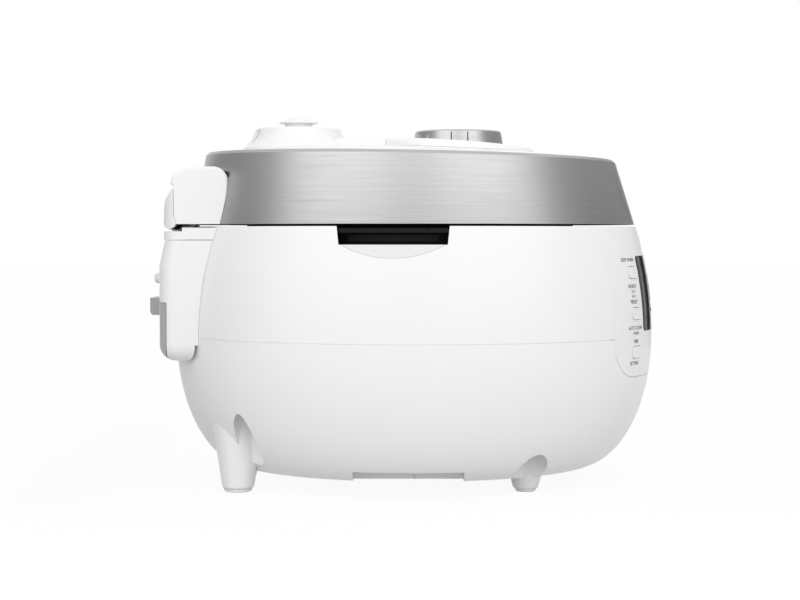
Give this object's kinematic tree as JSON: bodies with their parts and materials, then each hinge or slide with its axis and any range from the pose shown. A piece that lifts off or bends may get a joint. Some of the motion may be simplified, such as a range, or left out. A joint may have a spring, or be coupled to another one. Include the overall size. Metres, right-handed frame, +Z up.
{
  "type": "electric pressure rice cooker",
  "caption": "Oval white electric pressure rice cooker with a brushed steel lid band, rear-hinged lid, turning lock knob, steam weight, side grips, front display and a rear dew dish.",
  "frame": {"origin": "centre of the overall box at the level of the feet", "axes": "+Z up, the display faces -Y and the hinge is at +Y, X across"},
  "size_m": [0.28, 0.358, 0.2591],
  "materials": {
    "shell_white": "glossy white",
    "trim_white": "satin white",
    "trim_grey": "satin grey",
    "frame_black": "matt black",
    "window_black": "clear dark",
    "band_steel": "brushed",
    "knob_silver": "satin silver",
    "pot_dark": "dark coated",
    "cast_aluminium": "as cast",
    "steel": "plain",
    "rubber_grey": "soft",
    "rubber_black": "soft",
    "board_green": "circuit board",
    "copper": "wound wire"
  },
  "bodies": {
    "base": {"base_shell": "shell_white", "upper_housing": "shell_white", "bottom_plate": "trim_white", "foot_pads": "rubber_grey", "base_screws": "steel", "bottom_screws": "steel", "front_panel": "shell_white", "display_window": "window_black", "display_module": "frame_black", "control_board": "board_green", "key_switches": "trim_grey", "power_board": "board_green", "transformer": "copper", "top_frame": "frame_black", "pot_well": "cast_aluminium", "warm_band": "steel", "heating_plate": "cast_aluminium", "heater_element": "steel", "sensor_bracket": "steel", "sensor_spring": "steel", "thermal_fuse": "steel", "inner_pot": "pot_dark", "rear_cover": "shell_white", "cord_gland": "rubber_black", "hinge_housing": "shell_white", "hinge_pin": "steel", "hinge_spring": "steel"},
    "lid": {"lid_band": "band_steel", "lid_cover": "shell_white", "lid_bridge": "shell_white", "dial_plate": "shell_white", "knob_bush": "trim_white", "lid_base": "trim_white", "lid_hinge_cover": "shell_white", "lid_rear_cover": "trim_grey", "pressure_plate": "cast_aluminium", "plate_screws": "steel", "inner_cover": "steel", "lid_gasket": "rubber_grey", "steam_cap": "shell_white", "steam_nozzle": "steel", "safety_valve": "steel", "exhaust_solenoid": "copper"},
    "knob": {"lock_knob": "knob_silver", "lock_shaft": "steel"},
    "ring": {"lock_ring": "cast_aluminium"},
    "weight": {"pressure_weight": "trim_white"},
    "plunger": {"solenoid_plunger": "steel"},
    "dish": {"dew_dish": "trim_grey"},
    "sensor": {"sensor_cap": "cast_aluminium"},
    "key_left_1": {"key_left_1": "trim_white"},
    "key_left_2": {"key_left_2": "trim_white"},
    "key_left_3": {"key_left_3": "trim_white"},
    "key_right_1": {"key_right_1": "trim_white"},
    "key_right_2": {"key_right_2": "trim_white"},
    "key_right_3": {"key_right_3": "trim_white"}
  },
  "joints": [
    {"name": "lid_hinge", "type": "hinge", "parent": "base", "child": "lid", "pos_m": [0, 0.15755, 0.183], "axis": [-1, 0, 0], "range_deg": [0, 85]},
    {"name": "lock_ring_turn", "type": "hinge", "parent": "lid", "child": "ring", "pos_m": [0, -0.00605, 0.189], "axis": [0, 0, 1], "range_deg": [0, 21]},
    {"name": "knob_turn", "type": "hinge", "parent": "lid", "child": "knob", "pos_m": [0, -0.04055, 0.235], "axis": [0, 0, 1], "range_deg": [0, 90.1]},
    {"name": "weight_lift", "type": "slide", "parent": "lid", "child": "weight", "axis": [0, 0, 1], "range_m": [0, 0.005]},
    {"name": "plunger_lift", "type": "slide", "parent": "lid", "child": "plunger", "axis": [0, 0, 1], "range_m": [0, 0.003]},
    {"name": "dish_pull", "type": "slide", "parent": "base", "child": "dish", "axis": [0, 1, 0], "range_m": [0, 0.045]},
    {"name": "sensor_press", "type": "slide", "parent": "base", "child": "sensor", "axis": [0, 0, 1], "range_m": [-0.0025, 0], "stiffness_N_per_m": 400, "springref_m": 0.002, "deforming": ["sensor_spring"]},
    {"name": "key_left_1_press", "type": "slide", "parent": "base", "child": "key_left_1", "axis": [0.5144, 0.8576, 0], "range_m": [0, 0.0008], "stiffness_N_per_m": 600},
    {"name": "key_left_2_press", "type": "slide", "parent": "base", "child": "key_left_2", "axis": [0.5144, 0.8576, 0], "range_m": [0, 0.0008], "stiffness_N_per_m": 600},
    {"name": "key_left_3_press", "type": "slide", "parent": "base", "child": "key_left_3", "axis": [0.5144, 0.8576, 0], "range_m": [0, 0.0008], "stiffness_N_per_m": 600},
    {"name": "key_right_1_press", "type": "slide", "parent": "base", "child": "key_right_1", "axis": [-0.5144, 0.8576, 0], "range_m": [0, 0.0008], "stiffness_N_per_m": 600},
    {"name": "key_right_2_press", "type": "slide", "parent": "base", "child": "key_right_2", "axis": [-0.5144, 0.8576, 0], "range_m": [0, 0.0008], "stiffness_N_per_m": 600},
    {"name": "key_right_3_press", "type": "slide", "parent": "base", "child": "key_right_3", "axis": [-0.5144, 0.8576, 0], "range_m": [0, 0.0008], "stiffness_N_per_m": 600}
  ],
  "couplings": [
    {"joint": "knob_turn", "follows": "lock_ring_turn", "ratio": 4.2857}
  ]
}
